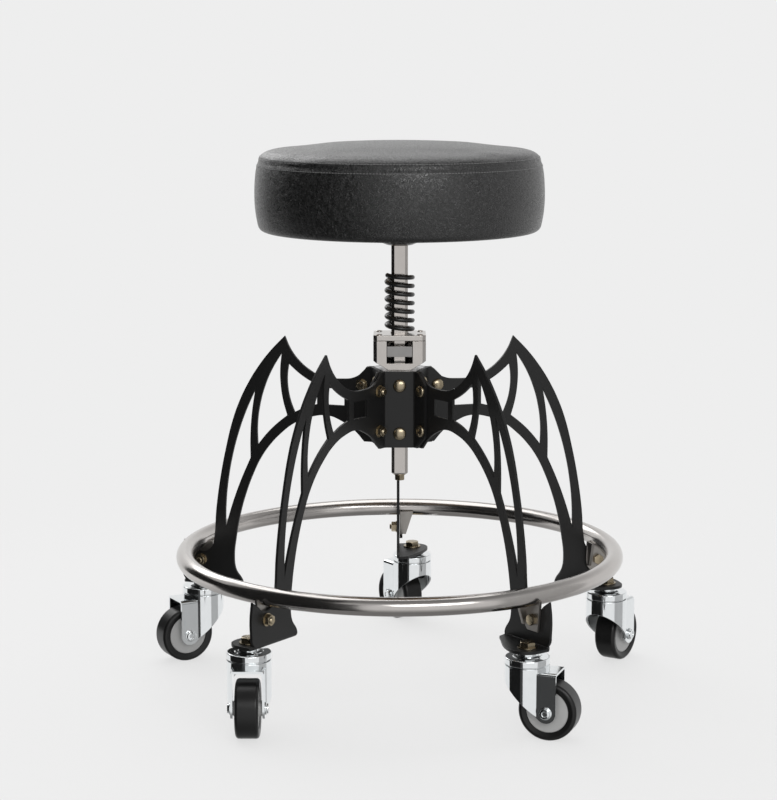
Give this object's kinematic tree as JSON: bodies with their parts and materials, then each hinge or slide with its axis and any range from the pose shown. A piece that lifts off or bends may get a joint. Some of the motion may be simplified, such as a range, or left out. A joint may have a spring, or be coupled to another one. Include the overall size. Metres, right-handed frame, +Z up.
{
  "type": "work stool",
  "caption": "Work stool: round padded seat on a sliding square post with a finger lock and bump spring, bent plate legs with cut-out windows, a tubular foot ring and swivel casters.",
  "frame": {"origin": "on the floor, under the axis of the post", "axes": "+Z up along the post, +Y towards the rear leg, -Y towards the front with the finger lock"},
  "size_m": [0.6741, 0.6565, 0.7268],
  "materials": {
    "black_powder_coat": "satin black powder coat",
    "black_vinyl": "grained black vinyl over foam",
    "black_enamel": "gloss black enamel",
    "black_rubber": "soft matte rubber",
    "grey_nylon": "moulded light grey plastic",
    "satin_steel": "warm satin, bead blasted",
    "polished_steel": "polished tube",
    "bright_zinc": "bright zinc plate",
    "yellow_zinc": "yellow zinc plate",
    "dark_steel": "blackened steel",
    "bronze": "plain bearing bronze",
    "machined_aluminium": "as machined",
    "plywood": "raw board"
  },
  "bodies": {
    "base": {"leg_rear": "black_powder_coat", "leg_left": "black_powder_coat", "leg_front_left": "black_powder_coat", "leg_front_right": "black_powder_coat", "leg_right": "black_powder_coat", "foot_ring": "polished_steel", "ring_bolt_rear": "yellow_zinc", "ring_bolt_left": "yellow_zinc", "ring_bolt_front_left": "yellow_zinc", "ring_bolt_front_right": "yellow_zinc", "ring_bolt_right": "yellow_zinc", "caster_bolt_rear": "yellow_zinc", "caster_bolt_left": "yellow_zinc", "caster_bolt_front_left": "yellow_zinc", "caster_bolt_front_right": "yellow_zinc", "caster_bolt_right": "yellow_zinc", "hub_core": "machined_aluminium", "guide_bush_lower": "bronze", "guide_bush_upper": "bronze", "hub_bolt_rear_lower": "yellow_zinc", "hub_bolt_rear_upper": "yellow_zinc", "hub_bolt_left_lower": "yellow_zinc", "hub_bolt_left_upper": "yellow_zinc", "hub_bolt_front_left_lower": "yellow_zinc", "hub_bolt_front_left_upper": "yellow_zinc", "hub_bolt_front_right_lower": "yellow_zinc", "hub_bolt_front_right_upper": "yellow_zinc", "hub_bolt_right_lower": "yellow_zinc", "hub_bolt_right_upper": "yellow_zinc", "lock_block": "satin_steel", "lock_cap": "satin_steel", "lock_pin": "dark_steel", "bump_spring": "black_enamel"},
    "post": {"post": "satin_steel", "post_end_bolt": "yellow_zinc"},
    "seat": {"swivel_housing": "black_enamel", "swivel_bearing": "bronze", "seat_cushion": "black_vinyl", "seat_board": "plywood"},
    "lock_plate": {"lock_plate": "dark_steel"},
    "caster_rear": {"fork_rear": "bright_zinc", "axle_rear": "bright_zinc"},
    "caster_left": {"fork_left": "bright_zinc", "axle_left": "bright_zinc"},
    "caster_front_left": {"fork_front_left": "bright_zinc", "axle_front_left": "bright_zinc"},
    "caster_front_right": {"fork_front_right": "bright_zinc", "axle_front_right": "bright_zinc"},
    "caster_right": {"fork_right": "bright_zinc", "axle_right": "bright_zinc"},
    "wheel_rear": {"tyre_rear": "black_rubber", "wheel_core_rear": "grey_nylon"},
    "wheel_left": {"tyre_left": "black_rubber", "wheel_core_left": "grey_nylon"},
    "wheel_front_left": {"tyre_front_left": "black_rubber", "wheel_core_front_left": "grey_nylon"},
    "wheel_front_right": {"tyre_front_right": "black_rubber", "wheel_core_front_right": "grey_nylon"},
    "wheel_right": {"tyre_right": "black_rubber", "wheel_core_right": "grey_nylon"}
  },
  "joints": [
    {"name": "height_slide", "type": "slide", "parent": "base", "child": "post", "axis": [0, 0, 1], "range_m": [-0.0367, 0.045]},
    {"name": "seat_swivel", "type": "hinge", "parent": "post", "child": "seat", "pos_m": [0, 0, 0.5915], "axis": [0, 0, 1], "continuous": true},
    {"name": "lock_release", "type": "hinge", "parent": "base", "child": "lock_plate", "pos_m": [0, 0.0172, 0.456], "axis": [-1, 0, 0], "range_deg": [0, 4], "stiffness_Nm_per_rad": 0.6, "springref_deg": -14.32},
    {"name": "caster_swivel_rear", "type": "hinge", "parent": "base", "child": "caster_rear", "pos_m": [0.0185, 0.296, 0.1027], "axis": [0, 0, 1], "continuous": true},
    {"name": "caster_swivel_left", "type": "hinge", "parent": "base", "child": "caster_left", "pos_m": [-0.2758, 0.10906, 0.1027], "axis": [0, 0, 1], "continuous": true},
    {"name": "caster_swivel_front_left", "type": "hinge", "parent": "base", "child": "caster_front_left", "pos_m": [-0.18895, -0.22859, 0.1027], "axis": [0, 0, 1], "continuous": true},
    {"name": "caster_swivel_front_right", "type": "hinge", "parent": "base", "child": "caster_front_right", "pos_m": [0.15902, -0.25034, 0.1027], "axis": [0, 0, 1], "continuous": true},
    {"name": "caster_swivel_right", "type": "hinge", "parent": "base", "child": "caster_right", "pos_m": [0.28723, 0.07387, 0.1027], "axis": [0, 0, 1], "continuous": true},
    {"name": "wheel_roll_rear", "type": "hinge", "parent": "caster_rear", "child": "wheel_rear", "pos_m": [0.00087, 0.32027, 0.0375], "axis": [-0.809, -0.5878, 0], "continuous": true},
    {"name": "wheel_roll_left", "type": "hinge", "parent": "caster_left", "child": "wheel_left", "pos_m": [-0.30178, 0.09406, 0.0375], "axis": [0.5, -0.866, 0], "continuous": true},
    {"name": "wheel_roll_front_left", "type": "hinge", "parent": "caster_front_left", "child": "wheel_front_left", "pos_m": [-0.18895, -0.2586, 0.0375], "axis": [1, 0, 0], "continuous": true},
    {"name": "wheel_roll_front_right", "type": "hinge", "parent": "caster_front_right", "child": "wheel_front_right", "pos_m": [0.18721, -0.2606, 0.0375], "axis": [0.342, 0.9397, 0], "continuous": true},
    {"name": "wheel_roll_right", "type": "hinge", "parent": "caster_right", "child": "wheel_right", "pos_m": [0.30357, 0.09903, 0.0375], "axis": [-0.8387, 0.5446, 0], "continuous": true}
  ]
}
